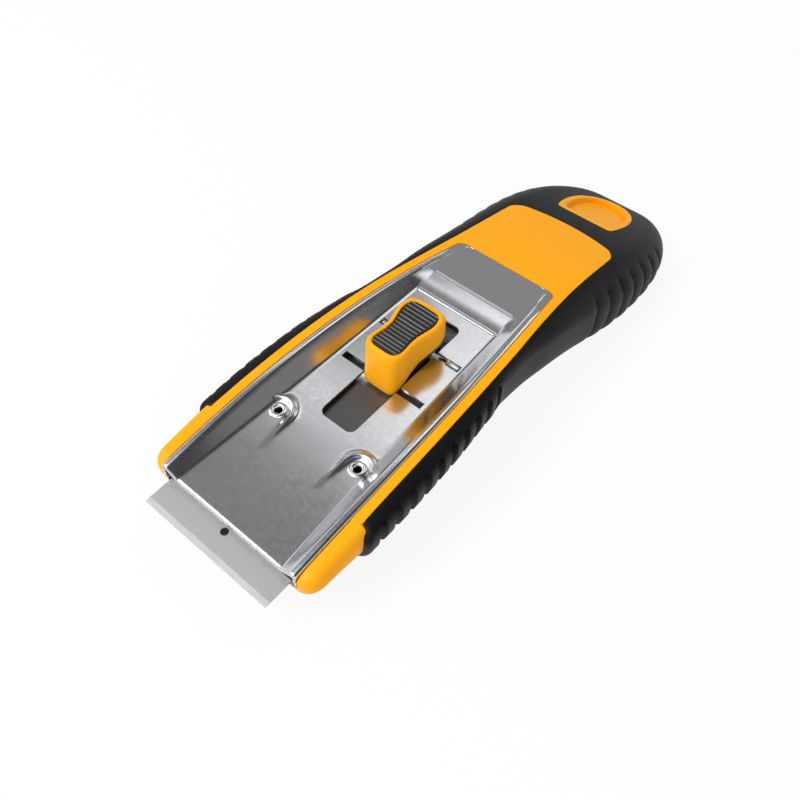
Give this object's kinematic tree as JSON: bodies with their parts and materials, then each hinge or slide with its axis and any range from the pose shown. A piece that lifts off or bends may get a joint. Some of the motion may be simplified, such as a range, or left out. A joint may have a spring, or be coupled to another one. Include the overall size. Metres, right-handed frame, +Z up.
{
  "type": "razor blade scraper",
  "caption": "Hand scraper with a rubber-gripped moulded handle, a pressed steel tray plate and a sliding razor blade that a sprung thumb button unlocks.",
  "frame": {"origin": "middle of the tool's footprint, in the plane of the two pads under the grip", "axes": "+Y from the cutting edge to the rear of the handle, +X across the blade, +Z up from the surface the grip's pads rest on"},
  "size_m": [0.0558, 0.1798, 0.0319],
  "materials": {
    "handle": "satin moulded yellow plastic",
    "grip": "matt black overmoulded rubber",
    "plate": "pressed bright steel sheet",
    "channel": "plain steel sheet",
    "fastener": "bright plated steel",
    "blade": "satin ground steel",
    "spring": "polished spring steel",
    "button": "satin moulded yellow plastic",
    "pad": "ribbed black rubber"
  },
  "bodies": {
    "handle": {"handle_core": "handle", "grip": "grip", "cover_plate": "plate", "guide_channel": "channel", "channel_screws": "fastener", "plate_eyelets": "fastener"},
    "carriage": {"blade": "blade", "blade_carrier": "channel", "blade_pins": "fastener", "lock_spring": "spring", "spring_rivets": "fastener"},
    "button": {"thumb_button": "button", "button_pad": "pad"}
  },
  "joints": [
    {"name": "carrier_slide", "type": "slide", "parent": "handle", "child": "carriage", "axis": [0, -0.9945, -0.1045], "range_m": [-0.006, 0.0144]},
    {"name": "button_press", "type": "slide", "parent": "carriage", "child": "button", "axis": [0, 0.1045, -0.9945], "range_m": [0, 0.0013], "stiffness_N_per_m": 2000, "springref_m": -0.0005, "deforming": ["lock_spring"]}
  ]
}
